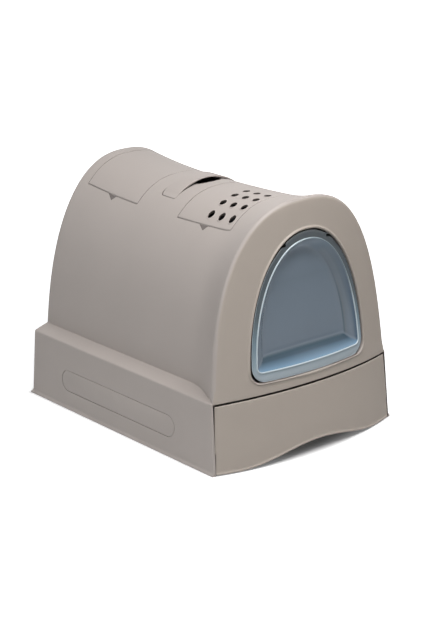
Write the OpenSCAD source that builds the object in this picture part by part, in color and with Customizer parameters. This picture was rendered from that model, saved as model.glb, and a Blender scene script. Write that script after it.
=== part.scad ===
// Hooded litter box: an arched hood on a skirted base, with a front swing door,
// a pull-out litter drawer, two roof lids and a carry handle between them.
// The front faces -Y, +Z is up, and the origin is on the floor under the middle.

/* [Housing] */
// Overall width at the bottom rim
body_w = 400; // [380:1:430]
// Overall length from the drawer's belly to the bottom rim at the back
body_l = 545; // [530:1:580]
// Wall thickness of the grey mouldings
wall = 3; // [2.5:0.1:3.4]
// How far the bottom rim stands out from the walls
rim_out = 2.5; // [1:0.5:4]
// Height of the bottom rim
rim_h = 6; // [4:0.5:10]
// Height of the upright skirt walls
skirt_h = 120; // [118:0.5:126]
// How far each skirt wall leans in over its height
skirt_draft = 3.4; // [2:0.1:5]
// Rise of the sloping shoulder above the skirt
shoulder_rise = 9; // [7:0.5:12]
// Lean of the back wall
rear_lean = 4.2; // [3:0.1:5]

/* [Roof] */
// Top of the front arch
body_h = 427.5; // [422:0.5:436]
// How far the rear arch's top lies below the front arch's
rear_drop = 2; // [0:0.5:8]
// How far the saddle-shaped ridge dips below the front arch's top
saddle_drop = 18.5; // [14:0.5:23]
// How far the ridge has risen where the front flare starts
front_rise = 9; // [6:0.5:12]
// How far the roof's sides stand in from the bottom rim
roof_in = 33; // [30:0.5:35]
// How far the flared front arch stands in from the bottom rim
arch_in = 6; // [6:0.5:10]
// Taper of the roof's sides
roof_taper = 0.046; // [0.03:0.002:0.06]
// Roundness of the roof's section
roof_power = 2.45; // [2.35:0.01:2.55]
// Height where the roof's curve begins
spring_h = 124; // [121:0.5:127]
// Length of the front flare
flare_len = 82; // [70:1:85]

/* [Face] */
// Radius of the bowed face, seen from above
bow_r = 578; // [540:1:640]
// Lean of the face
face_lean = 5.14; // [4:0.02:6]
// Distance of the flare's end from the foremost point
face_depth = 40; // [38:0.5:42]
// Thickness of the face wall
face_wall = 4; // [3.2:0.1:4.4]
// Bottom edge of the face wall at its ends
face_bottom = 118.6; // [118.4:0.1:120]

/* [Door] */
// Width of the face beside the doorway
face_side_w = 69.4; // [66:0.2:72]
// Height of the face over the doorway
face_top_w = 51.5; // [48:0.5:55]
// Bottom edge of the doorway
doorway_bottom = 140; // [136:0.5:146]
// Taper of the doorway's sides
doorway_taper = 0.03; // [0.02:0.005:0.04]
// Radius of the doorway's bottom corners
doorway_r = 22; // [16:1:28]
// Gap between the door and the doorway
door_gap = 2.2; // [2:0.1:2.8]
// Thickness of the clear door
door_wall = 2.6; // [2.2:0.1:3]
// Width of the flange round the door's dish
flange_w = 10.5; // [9.5:0.5:14]
// How much wider the flange is along its foot
flange_foot_w = 5.5; // [0:0.5:8]
// Depth of the dish
dish_depth = 24; // [18:0.5:26]
// How far the dish's side walls draw in over its depth
dish_draft = 18; // [12:0.5:20]
// How far the door's hinge lies below the doorway's top
hinge_drop = 18; // [16:0.5:20]
// Radius of the door's hinge pins
door_pin_r = 2; // [1.6:0.1:2.2]

/* [Drawer] */
// Top edge of the drawer front at its ends
drawer_top = 116; // [114:0.1:116.4]
// How far the seam over the drawer rises in the middle
seam_crown = 4; // [0:0.5:5]
// Clearance beside the drawer front
drawer_side_gap = 1.5; // [1.2:0.1:3]
// Height of the finger arch under the drawer front
finger_rise = 20; // [14:0.5:26]
// Half span of the finger arch
finger_half_w = 160; // [120:1:170]
// Wall thickness of the litter tray
tray_wall = 2.5; // [2:0.1:3.2]
// Height of the litter tray's rim
tray_top = 110; // [90:1:112]
// Radius of the tray's corners
tray_r = 30; // [20:1:40]
// Width of the tray's turned-out rim
tray_rim = 8; // [6:0.5:10]
// Draft of the tray's walls over its height
tray_draft = 8; // [5:0.5:12]

/* [Lids] */
// How far the lids' sides stand in from the roof's sides
lid_in = 72; // [70:0.5:79]
// Thickness of the lids
lid_t = 2.5; // [2:0.1:2.9]
// Gap round the lids
lid_gap = 0.8; // [0.5:0.1:1.2]
// Length of the filter lid
filter_lid_l = 135; // [126:0.5:137]
// How far the filter lid reaches into the flare
filter_lid_reach = 15.5; // [12:0.5:18]
// Length of the storage lid
store_lid_l = 138; // [124:0.5:139]
// Distance of the storage lid from the bottom rim's back
store_lid_set = 53; // [50:0.5:58]
// Radius of the vent holes
vent_r = 6.5; // [4:0.5:8]
// Distance between vent holes along the lid
vent_pitch_y = 25.2; // [20:0.1:28]
// Distance between vent rows across the lid
vent_pitch_x = 25.2; // [20:0.1:28]
// Radius of the lids' hinge pins
lid_pin_r = 2; // [1.6:0.1:2.2]
// Width of the finger notch beside each lid
notch_w = 24; // [16:1:30]
// Reach of the finger notch
notch_reach = 8; // [5:0.5:9]

/* [Handle] */
// Half length of the carry strap
strap_half_l = 72; // [66:0.5:74]
// Width of the carry strap
strap_w = 37; // [30:0.5:40]
// Front edge of the carry strap
strap_front = 6; // [4:0.5:8]
// Thickness of the carry strap
strap_t = 5; // [4:0.5:7]
// Rise of the strap above the roof
strap_rise = 5.5; // [4:0.5:8]

/* [Side inlays] */
// Length of each stadium-shaped inlay
inlay_l = 315; // [260:1:330]
// Height of each inlay
inlay_h = 38; // [30:1:44]
// Height of the inlay's middle
inlay_mid_h = 52; // [46:1:58]
// Place of the inlay's middle along the box
inlay_mid_y = 20; // [10:1:30]
// Thickness of the inlays
inlay_t = 1.4; // [1:0.1:1.6]

/* [Hidden] */
$fn = 48;

// Colours
grey_side = [0.60, 0.57, 0.54];
grey_light = [0.70, 0.67, 0.64];
blue_clear = [0.55, 0.68, 0.78, 0.6];
charcoal = [0.16, 0.16, 0.17];

// Clearances
seat_gap = 0.3;
joint_gap = 0.2;
pin_gap = 0.06;

// Housing
floor_l = body_l / 2;
skirt_half_low = body_w / 2 - rim_out;
skirt_half_top = skirt_half_low - skirt_draft;
rear_h = body_h - rear_drop;
saddle_h = body_h - saddle_drop;
roof_half_w = body_w / 2 - roof_in;
arch_half_w = body_w / 2 - arch_in;
rear_wall_y = floor_l - rim_out;
drawer_low = 3;
belly_h = drawer_low + finger_rise;
far = 320;

// Roof
flare_end = -floor_l + face_depth;
flare_start = flare_end + flare_len;
filter_lid_front = flare_start - filter_lid_reach;
filter_lid_back = filter_lid_front + filter_lid_l;
store_lid_back = rear_wall_y - store_lid_set;
store_lid_front = store_lid_back - store_lid_l;
arch_taper = 0.03;
arch_power = 2.53;
arch_spring_h = 110;
rear_top_y = rear_wall_y - tan(rear_lean) * rear_h;
roof_low = 106;
roof_steps = 14;
flare_side_power = 1.6;
flare_top_power = 2.4;
sag_power = 2.4;
lid_reach = 7;
flare_stations = [for (i = [0:6]) flare_end + flare_len * i / 8];
filter_stations = [flare_start, (flare_start + filter_lid_back) / 2, filter_lid_back + lid_reach];
store_stations = [store_lid_front - lid_reach, (store_lid_front + store_lid_back) / 2, store_lid_back + lid_reach];
roof_stations = [-floor_l - 8, each flare_stations, each filter_stations, each store_stations, rear_wall_y + 4];

// Base pan
pan_z = 4;
pan_t = 3;
pan_lip = 16;
runner_h = 2.7;
runner_w = 14;
runner_x = 110;
foot_r = 14;
pan_gap = 0.5;

// Tray
tray_z = pan_z + pan_t + runner_h + seat_gap;
tray_half_w = skirt_half_top - wall - 4;
tray_front_y = flare_end + 8;
tray_back_gap = 6;
tray_back_y = rear_wall_y - tan(rear_lean) * tray_top - wall - tray_back_gap;

// Doorway and hinge
doorway_half_w = arch_half_w - face_side_w;
doorway_top = body_h - face_top_w;
hinge_h = doorway_top - hinge_drop;
doorway_power = 2.15;
door_inset = 0.5;
pin_inset = 3.5;
boss_r = 5;
boss_x = 58;
boss_l = 8;
relief_r = 5.8;
relief_x = 45;
relief_l = 12;
pin_root_x = 39;

// Lids, and the wells under them
lid_half_w = roof_half_w - lid_in;
well_half_w = lid_half_w + 9;
well_wall = 2;
well_margin = 3;
lug_t = 3;
lug_r = 4.5;
lid_hinge_x = lid_half_w - 8.5;
lid_hinge_drop = 8.2;
tab_l = 8;
vent_first = 16;
vent_shift = 27;
pad_w = 140;
pad_t = 12;
pad_margin = 7;

// Handle pan
pan_wall = 2.5;
handle_floor_drop = 38;
strap_r = 6;
strap_ledge = 8;
finger_reach = 11.5;
finger_half = 28;

function skirt_half(z) = skirt_half_low - skirt_draft * z / skirt_h;
function rear_y(z) = rear_wall_y - tan(rear_lean) * z;
function face_y(x, z) = -floor_l + tan(face_lean) * (z - belly_h)
    + (bow_r - sqrt(bow_r * bow_r - x * x)) / cos(face_lean);

// Rise of the seam between the face and the drawer, and the seam's points
function crown(x) = seam_crown * (1 - pow(x / skirt_half_top, 2));
function seam(z, half, steps = 12) = [for (i = [-steps:steps]) [half * i / steps, z + crown(half * i / steps)]];

// Roof section at a station: half width, taper, roundness, spring height, height
function flare(y) = max(0, min(1, (flare_start - y) / flare_len));
function ridge(y) = y > 0
    ? saddle_h + (rear_h - saddle_h) * pow(y / rear_top_y, sag_power)
    : saddle_h + front_rise * pow(y / flare_end, 2)
        + (body_h - saddle_h - front_rise) * pow(flare(y), flare_top_power);
function section(y, inset = 0) = let (f = flare(y), g = pow(f, flare_side_power)) [
    roof_half_w + (arch_half_w - roof_half_w) * g - inset,
    roof_taper + (arch_taper - roof_taper) * g,
    roof_power + (arch_power - roof_power) * f,
    spring_h + (arch_spring_h - spring_h) * g,
    ridge(y) - inset];

// Points of an arch from its right foot over the top to its left foot
function arch_point(p, a) = let (z = p[3] + (p[4] - p[3]) * pow(abs(sin(a)), 2 / p[2]))
    [sign(cos(a)) * (p[0] - p[1] * (z - p[3])) * pow(abs(cos(a)), 2 / p[2]), z];
function arch(p, steps) = [for (i = [0:2 * steps]) arch_point(p, 90 * i / steps)];

// Height of a section's curve at a distance from the middle
function curve_z(x, p, i = 8) = let (z = i == 0 ? p[4] : curve_z(x, p, i - 1))
    p[3] + (p[4] - p[3]) * pow(max(0, 1 - pow(abs(x) / (p[0] - p[1] * (z - p[3])), p[2])), 1 / p[2]);
function roof_z(x, y) = curve_z(x, section(y));

// A flat shape drawn in X and Z, given a length along Y
module along_y(y0, length) {
    translate([0, y0 + length, 0])
        rotate([90, 0, 0])
            linear_extrude(length)
                children();
}

module rounded_rect(w, l, r) {
    square([w - 2 * r, l], center = true);
    square([w, l - 2 * r], center = true);
    for (sx = [-1, 1], sy = [-1, 1])
        translate([sx * (w / 2 - r), sy * (l / 2 - r)])
            circle(r);
}

module roof_section(y, inset) {
    p = section(y, inset);
    polygon([[p[0], roof_low], each arch(p, roof_steps), [-p[0], roof_low]]);
}

// Solid under the roof's surface, joined from section to section
module roof_solid(stations, inset) {
    slice = 0.2;
    for (i = [0:len(stations) - 2])
        hull() {
            along_y(stations[i], slice)
                roof_section(stations[i], inset);
            along_y(stations[i + 1] - slice, slice)
                roof_section(stations[i + 1], inset);
        }
}

// Everything behind the bowed, leaning face, a depth below its surface
module behind_face(depth) {
    translate([0, -floor_l + bow_r / cos(face_lean), belly_h])
        rotate([-face_lean, 0, 0])
            cylinder(r = bow_r - depth, h = 4 * far, center = true, $fn = 240);
}

// Everything in front of the leaning back wall
module before_rear(depth) {
    translate([0, rear_wall_y, 0])
        rotate([rear_lean, 0, 0])
            translate([-far, -2 * far - depth, -far])
                cube([2 * far, 2 * far, 3 * far]);
}

module skirt_outline(inset) {
    shoulder = skirt_h + shoulder_rise - inset;
    polygon([
        [skirt_half_low - inset, -inset],
        [skirt_half_top - inset, skirt_h - inset / 2],
        [roof_half_w - inset, shoulder],
        [inset - roof_half_w, shoulder],
        [inset - skirt_half_top, skirt_h - inset / 2],
        [inset - skirt_half_low, -inset]]);
}

// Solid of the hood without its rim, shrunk on all sides
module hood_block(inset) {
    intersection() {
        union() {
            roof_solid(roof_stations, inset);
            along_y(-far, 2 * far)
                skirt_outline(inset);
        }
        before_rear(inset);
    }
}

module bottom_rim() {
    intersection() {
        translate([-body_w / 2, -far, 0])
            cube([body_w, far + floor_l, rim_h]);
        behind_face(0);
    }
}

module lid_plan(front, back, gap) {
    translate([-lid_half_w - gap, front - gap, spring_h])
        cube([2 * (lid_half_w + gap), back - front + 2 * gap, body_h]);
}

module notch_plan(mid_y) {
    translate([-lid_half_w, mid_y, spring_h])
        linear_extrude(body_h)
            polygon([[1, -notch_w / 2], [-notch_reach, 0], [1, notch_w / 2]]);
}

// Plan of the hole that the carry strap bridges, with its finger bay in front
module handle_plan(grow, half_l = strap_half_l) {
    translate([0, strap_front + strap_w / 2])
        rounded_rect(2 * (half_l + grow), strap_w + 2 * grow, strap_r);
    translate([0, strap_front])
        scale([1, (finger_reach + grow) / (finger_half + grow)])
            circle(finger_half + grow);
}

// Bowl under the strap, before it is hollowed
module handle_bowl() {
    intersection() {
        translate([0, 0, saddle_h - handle_floor_drop])
            linear_extrude(2 * handle_floor_drop)
                handle_plan(lid_gap + pan_wall);
        roof_solid([strap_front - 24, strap_front + strap_w + 16], wall / 2);
    }
}

// Hollow of the bowl, which leaves a ledge under each end of the strap
module handle_hollow() {
    translate([0, 0, saddle_h - handle_floor_drop + pan_wall])
        linear_extrude(2 * handle_floor_drop)
            handle_plan(lid_gap, strap_half_l - strap_ledge);
    intersection() {
        strap_space();
        translate([0, 0, saddle_h - 60])
            linear_extrude(120)
                handle_plan(lid_gap);
    }
}

// Space that the strap's ends need, measured down from the roof
module strap_space() {
    along_y(strap_front - finger_reach - 4, strap_w + finger_reach + 8)
        polygon([
            for (i = [0:20]) let (x = (strap_half_l + 6) * (i / 10 - 1)) [x, roof_z(x, 0) - strap_t - seat_gap],
            [strap_half_l + 6, saddle_h + 40],
            [-strap_half_l - 6, saddle_h + 40]]);
}

module inlay_shape(grow) {
    r = inlay_h / 2 + grow;
    run = inlay_l - inlay_h;
    square([run, 2 * r], center = true);
    for (s = [-1, 1])
        translate([s * run / 2, 0])
            circle(r);
}

// A stadium plate set into a skirt wall, on the left (-1) or right (1) side,
// with a depth below the wall's surface and a height above it
module inlay_plate(side, grow, depth, above = 0) {
    draft = atan(skirt_draft / skirt_h);
    translate([side * skirt_half(inlay_mid_h), inlay_mid_y, inlay_mid_h])
        rotate([0, -side * draft, 0])
            rotate([90, 0, 90])
                translate([0, 0, side > 0 ? -depth : -above])
                    linear_extrude(depth + above)
                        inlay_shape(grow);
}

// Ring round the foot of the walls, standing out from them
module rim_ring() {
    difference() {
        bottom_rim();
        translate([1 - skirt_half_low, -far, -1])
            cube([2 * skirt_half_low - 2, far + rear_wall_y - 1, rim_h + 2]);
    }
}

module hood_shell() {
    color(grey_side)
        difference() {
            union() {
                difference() {
                    intersection() {
                        hood_block(0);
                        behind_face(0);
                        translate([-far, -far, 0])
                            cube(2 * far);
                    }
                    hood_block(wall);
                }
                rim_ring();
                handle_bowl();
            }
            // Seat of the face wall
            difference() {
                translate([-far, -far, face_bottom - joint_gap])
                    cube([2 * far, far, far]);
                behind_face(face_wall + joint_gap);
            }
            lid_plan(filter_lid_front, filter_lid_back, lid_gap);
            lid_plan(store_lid_front, store_lid_back, lid_gap);
            notch_plan((filter_lid_front + filter_lid_back) / 2);
            notch_plan((store_lid_front + store_lid_back) / 2);
            handle_hollow();
            for (side = [-1, 1])
                inlay_plate(side, joint_gap, inlay_t + joint_gap, 1);
        }
}

// Doorway outline, shrunk by a margin, with its foot raised
module doorway(margin, raise = 0) {
    r = doorway_r - margin / 2;
    low = doorway_bottom + margin + raise;
    x = doorway_half_w - margin;
    polygon([
        [x, low + r],
        each arch([x, doorway_taper, doorway_power, low + r, doorway_top - margin], 20),
        [-x, low + r],
        for (a = [0:15:90]) [-x + r - r * cos(a), low + r - r * sin(a)],
        for (a = [0:15:90]) [x - r + r * sin(a), low + r - r * cos(a)]]);
}

// Flat shape of everything over the seam
module above_seam(z) {
    polygon([each seam(z, skirt_half_top), [skirt_half_top, far + body_h], [-skirt_half_top, far + body_h]]);
}

module front_frame() {
    p = section(flare_end);
    color(grey_light)
        difference() {
            union() {
                difference() {
                    intersection() {
                        along_y(-far, far)
                            intersection() {
                                polygon([
                                    [skirt_half_top, face_bottom - 1],
                                    each arch(p, 24),
                                    [-skirt_half_top, face_bottom - 1]]);
                                above_seam(face_bottom);
                            }
                        behind_face(0);
                    }
                    behind_face(face_wall);
                    along_y(-far, far)
                        doorway(0);
                }
                intersection() {
                    hinge_bosses();
                    behind_face(1);
                }
            }
            for (s = [-1, 1])
                door_axis(s * (relief_x - 2), s * (boss_x + boss_l - 1.5))
                    circle(door_pin_r + pin_gap);
        }
}

// Place of the door's hinge axis
hinge_y = face_y(boss_x, hinge_h) + pin_inset;

module door_axis(x0, x1) {
    translate([min(x0, x1), hinge_y, hinge_h])
        rotate([90, 0, 90])
            linear_extrude(abs(x1 - x0))
                children();
}

module hinge_bosses() {
    for (s = [-1, 1])
        door_axis(s * boss_x, s * (boss_x + boss_l))
            circle(boss_r);
}

module swing_door() {
    dish_margin = door_gap + flange_w;
    color(blue_clear)
        union() {
            // Flange that follows the face
            difference() {
                intersection() {
                    along_y(-far, far)
                        doorway(door_gap);
                    behind_face(door_inset);
                }
                behind_face(door_inset + door_wall);
                along_y(-far, far)
                    doorway(dish_margin, flange_foot_w);
                for (s = [-1, 1])
                    door_axis(s * relief_x, s * (relief_x + relief_l))
                        circle(relief_r);
            }
            // Dish behind the flange
            difference() {
                intersection() {
                    dish_block(dish_margin - door_wall, 0);
                    behind_face(door_inset + 0.4);
                }
                dish_block(dish_margin, door_wall);
            }
            // Hinge pins, rooted in the flange
            for (s = [-1, 1])
                door_axis(s * pin_root_x, s * (boss_x + boss_l - 2.5))
                    circle(door_pin_r);
        }
}

// Drawn-in block of the dish, leaning with the face
module dish_block(margin, back) {
    mid_h = (doorway_top + doorway_bottom) / 2;
    lead = 40;
    slope = dish_draft / dish_depth;
    slice = 0.01;
    translate([0, face_y(0, mid_h), mid_h])
        rotate([-face_lean, 0, 0])
            hull() {
                along_y(-lead / 2, slice)
                    translate([0, -mid_h])
                        doorway(margin - slope * lead / 2, flange_foot_w);
                along_y(dish_depth - back - slice, slice)
                    translate([0, -mid_h])
                        doorway(margin + slope * (dish_depth - back), flange_foot_w);
            }
}

module base_pan() {
    low_z = pan_z + pan_t;
    half = skirt_half(pan_lip) - wall - pan_gap;
    back = rear_y(pan_lip) - wall - pan_gap;
    front = flare_end + 8;
    runner_set = 12;
    foot_set = 40;
    lip_t = 2;
    color(grey_side)
        union() {
            translate([-half, front, pan_z])
                cube([2 * half, back - front, pan_t]);
            for (s = [-1, 1]) {
                translate([s * (half - lip_t / 2) - lip_t / 2, front, low_z])
                    cube([lip_t, back - front, pan_lip - low_z]);
                translate([s * runner_x - runner_w / 2, front + runner_set, low_z])
                    cube([runner_w, tray_back_y - front - runner_set, runner_h]);
            }
            translate([lip_t - half, back - lip_t, low_z])
                cube([2 * (half - lip_t), lip_t, pan_lip - low_z]);
            for (sx = [-1, 1], y = [front + foot_set, back - foot_set])
                translate([sx * runner_x, y, 0])
                    cylinder(r = foot_r, h = pan_z);
        }
}

// Tub with drawn-in walls, shrunk on all sides
module tub(inset, low, high) {
    length = tray_back_y - tray_front_y;
    mid = (tray_back_y + tray_front_y) / 2;
    top_w = 2 * (tray_half_w - tray_rim) - 2 * inset;
    top_l = length - 2 * tray_rim - 2 * inset;
    hull() {
        translate([0, mid, low])
            linear_extrude(0.01)
                rounded_rect(top_w - 2 * tray_draft, top_l - 2 * tray_draft, tray_r, $fn = 32);
        translate([0, mid, high - 0.01])
            linear_extrude(0.01)
                rounded_rect(top_w, top_l, tray_r, $fn = 32);
    }
}

module drawer_tray() {
    length = tray_back_y - tray_front_y;
    mid = (tray_back_y + tray_front_y) / 2;
    color(grey_light)
        difference() {
            union() {
                tub(0, tray_z, tray_top);
                translate([0, mid, tray_top - tray_wall])
                    linear_extrude(tray_wall)
                        rounded_rect(2 * tray_half_w, length, tray_r + 4);
            }
            tub(tray_wall, tray_z + tray_wall, tray_top + 0.1);
        }
}

module drawer_outline() {
    top_half = skirt_half_top - wall - drawer_side_gap;
    low_half = skirt_half(drawer_low) - wall - drawer_side_gap;
    polygon([
        for (i = [12:-1:-12]) [top_half * i / 12, drawer_top + crown(top_half * i / 12)],
        [-low_half, drawer_low],
        for (i = [-12:12]) let (x = i * finger_half_w / 12)
            [x, drawer_low + finger_rise * pow(cos(90 * i / 12), 2)],
        [low_half, drawer_low]]);
}

module drawer_front() {
    web_t = 2.5;
    web_half = finger_half_w;
    web_back_y = tray_front_y + tray_rim - joint_gap;
    rim_low = tray_top - tray_wall;
    color(grey_light)
        union() {
            difference() {
                intersection() {
                    along_y(-far, far)
                        drawer_outline();
                    behind_face(0);
                }
                behind_face(wall);
            }
            // Ribs and shelf that carry the front panel under the tray's rim
            intersection() {
                union() {
                    for (x = [-web_half, -web_half / 3, web_half / 3, web_half])
                        translate([x - web_t / 2, -far, belly_h + 20])
                            cube([web_t, far + web_back_y, rim_low - belly_h - 20]);
                    translate([-web_half - web_t / 2, -far, rim_low - web_t])
                        cube([2 * web_half + web_t, far + web_back_y, web_t]);
                }
                behind_face(wall - 0.5);
            }
        }
}

// Stations of the roof over one lid
function over_lid(front) = front < 0 ? [flare_stations[5], flare_stations[6], each filter_stations] : store_stations;

module well_space(front, back) {
    floor_z = well_floor(front, back);
    difference() {
        intersection() {
            translate([-well_half_w, front - well_margin, floor_z - well_wall])
                cube([2 * well_half_w, back - front + 2 * well_margin, body_h]);
            roof_solid(over_lid(front), wall + joint_gap);
        }
        translate([well_wall - well_half_w, front - well_margin + well_wall, floor_z])
            cube([2 * (well_half_w - well_wall), back - front + 2 * (well_margin - well_wall), body_h]);
    }
}

function well_floor(front, back) = min(roof_z(well_half_w, front), roof_z(well_half_w, back)) - wall - 3;

// Height of a lid's hinge at one of its ends; the hinge leans with the roof's side
function lid_hinge_z(y) = roof_z(lid_hinge_x, y) - lid_hinge_drop;
function lid_tilt(front, back) = atan((lid_hinge_z(back) - lid_hinge_z(front)) / (back - front));

module lid_axis(front, back, y0, y1) {
    translate([lid_hinge_x, front, lid_hinge_z(front)])
        rotate([lid_tilt(front, back), 0, 0])
            along_y(y0 - front, y1 - y0)
                children();
}

module well(front, back) {
    difference() {
        union() {
            well_space(front, back);
            // Tabs that the closed lid's free edge rests on
            intersection() {
                for (y = [front - well_margin, back + well_margin - tab_l])
                    translate([-lid_half_w + 3, y, well_floor(front, back) - 1])
                        cube([10, tab_l, body_h]);
                roof_solid(over_lid(front), wall + joint_gap);
            }
        }
        lid_axis(front, back, front - well_margin - 1, back + well_margin + 1)
            circle(lid_pin_r + pin_gap);
    }
}

module filter_well() {
    slot_n = 5;
    slot_l = 70;
    slot_w = 8;
    slot_pitch = 22;
    mid_y = (filter_lid_front + filter_lid_back) / 2;
    color(grey_side)
        difference() {
            well(filter_lid_front, filter_lid_back);
            for (i = [0:slot_n - 1])
                translate([(i - (slot_n - 1) / 2) * slot_pitch - slot_w / 2, mid_y - slot_l / 2, saddle_h - 80])
                    cube([slot_w, slot_l, 40]);
        }
}

module storage_well() {
    color(grey_side)
        well(store_lid_front, store_lid_back);
}

// Lid cut from the roof, with lugs and pins under its right edge
module lid_plate(front, back) {
    intersection() {
        roof_solid(over_lid(front), 0);
        union() {
            difference() {
                lid_plan(front, back, 0);
                roof_solid(over_lid(front), lid_t);
            }
            for (end = [0, 1]) {
                inner = end == 0 ? front + 1.5 : back - 1.5 - lug_t;
                lid_axis(front, back, inner, inner + lug_t) {
                    circle(lug_r);
                    translate([-lug_r, 0])
                        square([2 * lug_r, 20]);
                }
                tip = end == 0 ? front - well_margin + 0.4 : back - 1.6;
                lid_axis(front, back, tip, tip + well_margin + 1.2)
                    circle(lid_pin_r);
            }
        }
    }
}

module filter_lid() {
    mid_y = (filter_lid_front + filter_lid_back) / 2;
    color(grey_light)
        difference() {
            lid_plate(filter_lid_front, filter_lid_back);
            for (row = [0:3], col = [-1:1])
                translate([vent_first - lid_half_w + row * vent_pitch_x, mid_y - vent_shift + col * vent_pitch_y, 0])
                    cylinder(r = vent_r, h = 2 * body_h);
        }
}

module storage_lid() {
    color(grey_light)
        lid_plate(store_lid_front, store_lid_back);
}

module carbon_filter() {
    mid_y = (filter_lid_front + filter_lid_back) / 2;
    floor_z = well_floor(filter_lid_front, filter_lid_back);
    color(charcoal)
        translate([0, mid_y, floor_z + seat_gap])
            linear_extrude(pad_t)
                rounded_rect(pad_w, filter_lid_l - 2 * pad_margin, pad_margin);
}

module litter_scoop() {
    floor_z = well_floor(store_lid_front, store_lid_back) + seat_gap;
    mid_y = (store_lid_front + store_lid_back) / 2;
    blade = [84, 92, 22];
    grip = [70, 22, 9];
    shell = 2;
    sieve_w = 6;
    sieve_pitch = 11.5;
    sieve_set = 8;
    color(blue_clear)
        translate([-(blade[0] + grip[0]) / 2, mid_y, floor_z])
            difference() {
                union() {
                    translate([0, -blade[1] / 2, 0])
                        cube(blade);
                    translate([blade[0], -grip[1] / 2, 0])
                        cube(grip);
                }
                translate([-1, shell - blade[1] / 2, shell])
                    cube([blade[0] - shell + 1, blade[1] - 2 * shell, blade[2]]);
                for (i = [-3:3])
                    translate([sieve_set, i * sieve_pitch - sieve_w / 2, -1])
                        cube([blade[0] - 2 * sieve_set - shell, sieve_w, shell + 2]);
            }
}

module carry_handle() {
    n = 16;
    color(grey_light)
        intersection() {
            along_y(strap_front, strap_w)
                polygon([
                    for (i = [-n:n]) let (x = strap_half_l * i / n)
                        [x, roof_z(x, 0) + strap_rise * pow(cos(90 * i / n), 0.6)],
                    for (i = [n:-1:-n]) let (x = strap_half_l * i / n)
                        [x, roof_z(x, 0) - strap_t + strap_rise * pow(cos(90 * i / n), 0.6)]]);
            translate([0, strap_front + strap_w / 2, saddle_h - 60])
                linear_extrude(100)
                    rounded_rect(2 * strap_half_l, strap_w, strap_r);
        }
}

module side_inlay_left() {
    color(grey_side)
        inlay_plate(-1, 0, inlay_t);
}

module side_inlay_right() {
    color(grey_side)
        inlay_plate(1, 0, inlay_t);
}

base_pan();
hood_shell();
front_frame();
filter_well();
storage_well();
carry_handle();
carbon_filter();
litter_scoop();
side_inlay_left();
side_inlay_right();
drawer_tray();
drawer_front();
swing_door();
filter_lid();
storage_lid();
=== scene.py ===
import bmesh
import bpy
import math
import numpy as np
from mathutils import Matrix, Vector


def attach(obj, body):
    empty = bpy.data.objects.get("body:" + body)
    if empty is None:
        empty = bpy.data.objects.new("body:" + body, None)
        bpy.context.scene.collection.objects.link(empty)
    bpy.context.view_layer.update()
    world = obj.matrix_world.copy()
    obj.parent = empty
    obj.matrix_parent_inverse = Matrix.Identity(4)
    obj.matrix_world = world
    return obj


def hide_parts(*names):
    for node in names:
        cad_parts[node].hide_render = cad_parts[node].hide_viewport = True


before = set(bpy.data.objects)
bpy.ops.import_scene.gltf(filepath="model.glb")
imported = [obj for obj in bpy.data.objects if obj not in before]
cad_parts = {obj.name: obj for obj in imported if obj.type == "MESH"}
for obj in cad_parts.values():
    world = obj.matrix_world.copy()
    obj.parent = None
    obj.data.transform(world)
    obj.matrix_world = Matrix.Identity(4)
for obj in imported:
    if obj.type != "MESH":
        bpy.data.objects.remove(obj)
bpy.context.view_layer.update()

MM = 0.001

# Sizes in millimetres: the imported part's, some of them refitted to the photograph by a millimetre or two
FLOOR_L, REAR_Y = 272.5, 270.0
SKIRT_LOW, SKIRT_TOP, SKIRT_H = 197.5, 194.1, 120.0
SHOULDER_RUN, SHOULDER_RISE = 27.1, 9.0
REAR_LEAN = math.tan(math.radians(4.2))
FACE_LEAN = math.radians(5.14)
BOW_R, BELLY_H = 578.0, 23.0
FLARE_END, FLARE_LEN = -232.5, 82.0
FLARE_START = FLARE_END + FLARE_LEN
SEAM_CROWN, FACE_END_Z, DRAWER_END_Z = 4.0, 118.6, 114.8
FINGER_HALF = 160.0
LIDS = {"filter_lid": (-166.0, -31.0), "storage_lid": (79.0, 217.0)}
WELL_FLOORS = {"filter_lid": 354.22, "storage_lid": 355.02}
LID_HALF, LID_GAP = 95.0, 1.1
LID_AXIS_X, LID_AXIS_DROP = 86.5, 8.2
STRAP_HALF, STRAP_FRONT, STRAP_W, STRAP_R, STRAP_GAP = 72.0, 6.0, 37.0, 9.0, 1.5
VENTS = [(-80.8 + 25.2 * row, -127.0 + 26.2 * col) for row in range(4) for col in (-1, 0, 1)]
FACE_HALF = 191.1
DOORWAY_HALF, DOORWAY_TOP, DOORWAY_LOW, DOORWAY_CORNER = 124.6, 374.6, 140.0, 22.0
DOORWAY_TAPER, DOORWAY_POWER = 0.03, 2.15
HINGE_X, HINGE_Z, HINGE_DEPTH = 58.0, 358.0, 3.5
INLAY_Y, INLAY_Z, INLAY_L, INLAY_H = 20.0, 52.0, 315.0, 38.0


# Shape of the hood

def face_y(x, z):
    bow = BOW_R - np.sqrt(BOW_R ** 2 - np.asarray(x, float) ** 2)
    return -FLOOR_L + math.tan(FACE_LEAN) * (np.asarray(z, float) - BELLY_H) + bow / math.cos(FACE_LEAN)


def rear_y(z):
    return REAR_Y - REAR_LEAN * np.asarray(z, float)


def crown(x):
    """Rise of the seam between the face and the drawer front."""
    return SEAM_CROWN * (1 - (x / SKIRT_TOP) ** 2)


def flare(y):
    return min(1.0, max(0.0, (FLARE_START - y) / FLARE_LEN))


def ridge(y):
    if y > 0:
        return 409 + 16.5 * (y / 238.8) ** 2.4
    return 409 + 9 * (y / 232.5) ** 2 + 9.5 * flare(y) ** 2.4


def section(y):
    """The arch at a station: half width, taper, roundness, springing height and ridge."""
    f = flare(y)
    g = f ** 1.6
    return 167 + 27 * g, 0.046 - 0.016 * g, 2.45 + 0.08 * f, 124 - 14 * g, ridge(y)


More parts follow.
